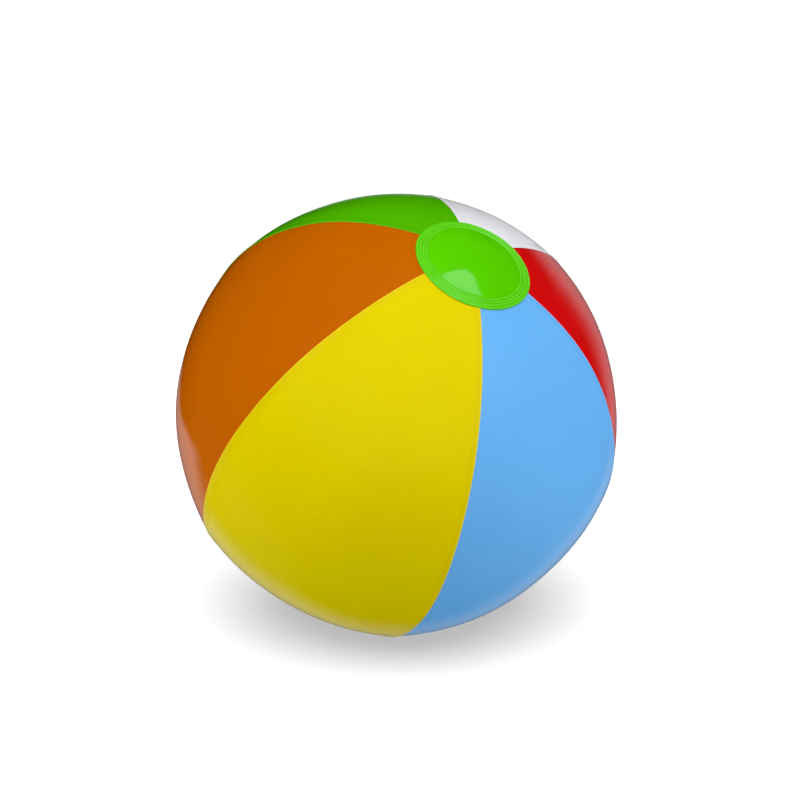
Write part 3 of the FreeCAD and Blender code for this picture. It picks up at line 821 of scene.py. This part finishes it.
def film_material(name, colour, deep_colour, painted_highlight_colour):
    """Calendered PVC film, pigmented and highly glossy: a saturated colour with a clear mirror-like
    reflection, slightly soft where the calender rolls left a faint grain, a little deeper and duller
    where two films are welded, and paler on the ridge that the weld squeezed out and on the caps' rings: a
    painted highlight."""
    material, tree = new_material(name)
    place = add_node(tree, "ShaderNodeTexCoord").outputs["Object"]
    weld = add_node(tree, "ShaderNodeAttribute", attribute_name="weld").outputs["Fac"]
    ridge = add_node(tree, "ShaderNodeAttribute", attribute_name="ridge").outputs["Fac"]
    # uneven pigment, in clouds about 60 mm across
    clouds = add_node(tree, "ShaderNodeTexNoise", {"Vector": place, "Scale": 16.0, "Detail": 2.0})
    limits = {"From Min": 0.35, "From Max": 0.65, "To Min": 0.0, "To Max": 0.35}
    share = add_node(tree, "ShaderNodeMapRange", {"Value": clouds.outputs["Fac"], **limits})
    body = mixed(tree, share.outputs["Result"], colour, deep_colour)
    welded = mixed(tree, scaled(tree, weld, 0.6), body, deep_colour)
    # painted highlight: paler on the beads and the caps' rings
    with_painted_highlight = mixed(tree, scaled(tree, ridge, 0.55), welded, painted_highlight_colour)
    # a gentle unevenness of the gloss, about 25 mm across, and a duller skin on the welds
    gloss = add_node(tree, "ShaderNodeTexNoise", {"Vector": place, "Scale": 40.0, "Detail": 3.0})
    limits = {"To Min": 0.06, "To Max": 0.12}
    rough = add_node(tree, "ShaderNodeMapRange", {"Value": gloss.outputs["Fac"], **limits})
    parts = {0: rough.outputs["Result"], 1: scaled(tree, weld, 0.06)}
    roughness = add_node(tree, "ShaderNodeMath", parts, operation="ADD")
    # calender grain, about 1.6 mm across
    grain = add_node(tree, "ShaderNodeTexNoise", {"Vector": place, "Scale": 620.0, "Detail": 1.0})
    depth = {"Distance": 0.000012, "Strength": 0.35}
    bumps = add_node(tree, "ShaderNodeBump", {"Height": grain.outputs["Fac"], **depth})
    shader = add_node(
        tree,
        "ShaderNodeBsdfPrincipled",
        {
            "Base Color": with_painted_highlight,
            "Roughness": roughness.outputs[0],
            "IOR": 1.5,
            "Specular IOR Level": 0.18,
            "Normal": bumps.outputs["Normal"],
        },
    )
    add_node(tree, "ShaderNodeOutputMaterial", {"Surface": shader.outputs[0]})
    return material


FILMS = {
    # slot: name, colour, colour where thicker or welded, colour of the painted highlight on a bead
    "white_film": ("calendered_pvc_white", "#f1f1f6", "#eaeaf1", "#f8f8fb"),
    "green_film": ("calendered_pvc_green", "#4fb600", "#4aae00", "#6fd62a"),
    "orange_film": ("calendered_pvc_orange", "#c06000", "#b95a00", "#d98030"),
    "yellow_film": ("calendered_pvc_yellow", "#dfcd00", "#dac400", "#f6d838"),
    "blue_film": ("calendered_pvc_blue", "#69b3f3", "#62abec", "#aab8ee"),
    "red_film": ("calendered_pvc_red", "#cf0c0c", "#c60808", "#e04848"),
}
film_materials = {slot: film_material(*words) for slot, words in FILMS.items()}
# the cap's last colour is the painted highlight on its rings
cap_material = film_material("calendered_pvc_cap_green", "#55ca00", "#4fbe00", "#78e838")


def pvc_moulding():
    """Injection-moulded soft PVC for the valve: milky, a little clear, with a satin skin."""
    material, tree = new_material("moulded_soft_pvc")
    place = add_node(tree, "ShaderNodeTexCoord").outputs["Object"]
    # the plastic's flow in the mould, in clouds about 4 mm across
    flow = add_node(tree, "ShaderNodeTexNoise", {"Vector": place, "Scale": 260.0, "Detail": 2.0})
    flow_share = flow.outputs["Fac"]
    tint = mixed(tree, flow_share, "#dce2e0", "#cfd7d5")
    satin = add_node(tree, "ShaderNodeMapRange", {"Value": flow_share, "To Min": 0.28, "To Max": 0.40})
    depth = {"Distance": 0.00003, "Strength": 0.3}
    bumps = add_node(tree, "ShaderNodeBump", {"Height": flow_share, **depth})
    shader = add_node(
        tree,
        "ShaderNodeBsdfPrincipled",
        {
            "Base Color": tint,
            "Roughness": satin.outputs["Result"],
            "IOR": 1.5,
            "Subsurface Weight": 0.25,
            "Subsurface Scale": 0.002,
            "Normal": bumps.outputs["Normal"],
        },
    )
    add_node(tree, "ShaderNodeOutputMaterial", {"Surface": shader.outputs[0]})
    return material


valve_pvc = pvc_moulding()

# ---------------------------------------------------------------- make the shell

pieces = []
for panel_name in PANELS:
    film = make_panel(panel_name)
    film.data.materials.append(film_materials[PANELS[panel_name][1]])
    pieces.append(film)
for cap_name, at_top in (("top_cap", True), ("bottom_cap", False)):
    cap = make_cap(cap_name, at_top)
    cap.data.materials.append(cap_material)
    pieces.append(cap)

VALVE_PIECES = (
    ("valve_flange", make_flange, "ball"),
    ("valve_web", make_web, None),
    ("valve_stem", make_stem, "mouthpiece"),
    ("valve_plug", make_plug, "plug"),
    ("valve_strap", make_strap, None),
    ("check_flap", make_flap, "flap"),
)


for node, make_piece, body in VALVE_PIECES:
    moulding = make_piece()
    moulding.data.materials.append(valve_pvc)
    if body:
        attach(moulding, body)
    elif node == "valve_web":
        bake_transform(moulding)
    else:
        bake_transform(moulding)
    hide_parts(node)
    pieces.append(moulding)

# ---------------------------------------------------------------- floor, light and camera

mounts = {mount["name"]: mount for mount in frame["record"]["mounts"]}
FLOOR_LEVEL = mounts["ground_contact"]["pos_m"][2]
FLOOR_HALF = 6.0


def emitter(name, strength_attribute, strength):
    """A plain white lamp surface, as bright as its strength attribute times strength."""
    material, tree = new_material(name)
    glow = add_node(tree, "ShaderNodeAttribute", attribute_name=strength_attribute).outputs["Fac"]
    light = add_node(
        tree,
        "ShaderNodeEmission",
        {"Color": linear("#ffffff"), "Strength": scaled(tree, glow, strength)},
    )
    add_node(tree, "ShaderNodeOutputMaterial", {"Surface": light.outputs[0]})
    return material


def make_floor():
    """A level sheet of matt white paper, lit a little from behind, that runs far past the ball."""
    corners = FLOOR_HALF * np.array([[-1, -1], [1, -1], [1, 1], [-1, 1]])
    points = np.concatenate([corners, np.full((4, 1), FLOOR_LEVEL)], axis=1) / MM
    floor = mesh_object("studio_floor", points, [np.array([[0, 1, 2, 3]])])
    material, tree = new_material("matt_white_paper")
    shader = add_node(
        tree,
        "ShaderNodeBsdfPrincipled",
        {
            "Base Color": linear("#e6e6e6"),
            "Roughness": 0.9,
            "Specular IOR Level": 0.0,
            "Emission Color": linear("#ffffff"),
            "Emission Strength": 0.40,
        },
    )
    add_node(tree, "ShaderNodeOutputMaterial", {"Surface": shader.outputs[0]})
    floor.data.materials.append(material)
    floor.visible_glossy = False
    floor.visible_diffuse = False
    return floor


studio_floor = make_floor()

# a plain white surround, seen by the camera and by nothing else
world = bpy.data.worlds.new("studio_world")
world.use_nodes = True
background = world.node_tree.nodes["Background"]
background.inputs["Color"].default_value = linear("#ffffff")
background.inputs["Strength"].default_value = 1.05
bpy.context.scene.world = world
world.cycles_visibility.glossy = False
world.cycles_visibility.diffuse = False

# the camera's place, from the ball's centre
VIEW_AZIMUTH = math.radians(-24.9)
VIEW_ELEVATION = math.radians(9.4)
VIEW_DISTANCE = 0.775
VIEW_DIRECTION = Vector(
    (
        math.sin(VIEW_AZIMUTH) * math.cos(VIEW_ELEVATION),
        -math.cos(VIEW_AZIMUTH) * math.cos(VIEW_ELEVATION),
        math.sin(VIEW_ELEVATION),
    )
)


def studio_axes():
    """Right, up and towards-camera directions of the main view."""
    right = Vector((math.cos(VIEW_AZIMUTH), math.sin(VIEW_AZIMUTH), 0))
    return right, VIEW_DIRECTION.cross(right), VIEW_DIRECTION


def lamp(name, kind, place, settings, receivers=None, blockers=None):
    """A lamp at place that faces the ball. It lights the receivers alone and is blocked by the
    blockers alone, where they are given. Sizes in metres, angles in radians."""
    data = bpy.data.lights.new(name, kind)
    for key, value in settings.items():
        setattr(data, key, value)
    light = bpy.data.objects.new(name, data)
    light.location = place
    light.rotation_euler = (-Vector(place)).to_track_quat("-Z", "Y").to_euler()
    light.light_linking.receiver_collection = receivers
    light.light_linking.blocker_collection = blockers
    bpy.context.scene.collection.objects.link(light)
    return light


def light_group(name, members):
    """A collection of objects for a lamp's receivers or blockers."""
    group = bpy.data.collections.new(name)
    for member in members:
        group.objects.link(member)
    return group


right, up, toward = studio_axes()

BACK_CARD_RADIUS = 4.0
BACK_CARD_STRENGTH = 0.8
BACK_CARD_OUTLINE = np.array(
    (
        # turn from the right over the top, reach from the middle of the back, softness of the edge
        (0, 52, 18),
        (20, 60, 28),
        (38, 68, 34),
        (58, 44, 14),
        (75, 34, 8),
        (110, 31, 8),
        (130, 12, 8),
        (140, 4, 4),
        (158, 4, 4),
        (166, 30, 6),
        (180, 43, 6),
        (190, 62, 10),
        (205, 64, 30),
        (240, 63, 36),
        (270, 60, 38),
        (300, 63, 36),
        (325, 64, 34),
        (345, 54, 24),
    )
)


def make_back_card():
    """A white surround behind and below the ball, with a gap at the upper left: part of a sphere about
    it, from the middle of its back out to the outline's reach at each turn. Its brightness grows with
    the square of the angle from the middle and fades to nothing at the outline. Only mirror-like
    reflections see it, and it gives the ball's rims their pale edge."""
    turn, share = np.meshgrid(np.arange(0, 360, 2.5), np.linspace(0.01, 1, 48), indexing="xy")
    reach, softness = (
        np.interp(turn, BACK_CARD_OUTLINE[:, 0], column, period=360) for column in BACK_CARD_OUTLINE[:, 1:].T
    )
    fall = share * reach
    turn_angle, fall_angle = np.radians(turn)[..., None], np.radians(fall)[..., None]
    spoke = np.cos(turn_angle) * np.array(right) + np.sin(turn_angle) * np.array(up)
    ray = np.sin(fall_angle) * spoke - np.cos(fall_angle) * np.array(toward)
    index = np.arange(turn.size).reshape(turn.shape)
    glow = smoothstep((reach - fall) / softness) * np.clip((fall / 50) ** 2, 0.1, 1)
    points = (BACK_CARD_RADIUS * ray).reshape(-1, 3) / MM
    card = mesh_object("back_card", points, [quads(index, wrap_columns=True)], {"glow": glow.ravel()})
    card.data.materials.append(emitter("back_card_white", "glow", BACK_CARD_STRENGTH))
    card.visible_camera = False
    card.visible_diffuse = False
    card.visible_shadow = False
    return card


make_back_card()

for piece in pieces:
    piece.visible_diffuse = False
ball_pieces = light_group("ball_pieces", pieces)
floor_only = light_group("floor_only", [studio_floor])

caps_only = light_group("caps_only", [piece for piece in pieces if piece.name.endswith("_cap")])

# a soft box above and in front gives the bright patch on the cap
key_direction = (0.35 * right + 0.75 * up + 0.56 * toward).normalized()
SOFT_BOXES = (
    # name, where it stands, sides in metres, power, receivers
    ("key_soft_box", 1.6 * key_direction, (0.80, 0.66), 9.5, caps_only),
)
for name, place, (wide, deep), power, receivers in SOFT_BOXES:
    settings = {"shape": "RECTANGLE", "size": wide, "size_y": deep, "energy": power}
    box = lamp(name, "AREA", place, settings, receivers)
    box.visible_diffuse = False
SOFT_LAMPS = (
    # name, where it shines from, angle across, strength, receivers, blockers
    ("sky_light", (0, 0, 1), 150, 0.6, ball_pieces, ball_pieces),
    ("floor_light", Vector((0, 0, 1)) + 0.62 * toward, 62, 4.3, floor_only, None),
    ("key_light", 0.42 * up + 0.91 * toward, 110, 3.3, ball_pieces, ball_pieces),
    ("left_low_light", -0.79 * right - 0.42 * up - 0.45 * toward, 60, 3.1, ball_pieces, ball_pieces),
    ("right_low_light", 0.79 * right - 0.42 * up - 0.45 * toward, 60, 3.2, ball_pieces, ball_pieces),
    ("back_light", -0.95 * toward + 0.3 * up, 110, 0.35, ball_pieces, ball_pieces),
)
for name, place, across, strength, receivers, blockers in SOFT_LAMPS:
    soft = lamp(name, "SUN", place, {"angle": math.radians(across), "energy": strength}, receivers, blockers)
    soft.visible_glossy = False

camera_data = bpy.data.cameras.new("camera")
camera_data.lens = 42.1
camera_data.sensor_width = 36.0
camera_data.shift_x = 0.0044
camera_data.shift_y = 0.0169
camera = bpy.data.objects.new("camera", camera_data)
camera.location = VIEW_DISTANCE * VIEW_DIRECTION
camera.rotation_euler = (-VIEW_DIRECTION).to_track_quat("-Z", "Y").to_euler()
bpy.context.scene.collection.objects.link(camera)
bpy.context.scene.camera = camera
bpy.context.scene.view_settings.view_transform = "Standard"
bpy.context.scene.view_settings.look = "None"
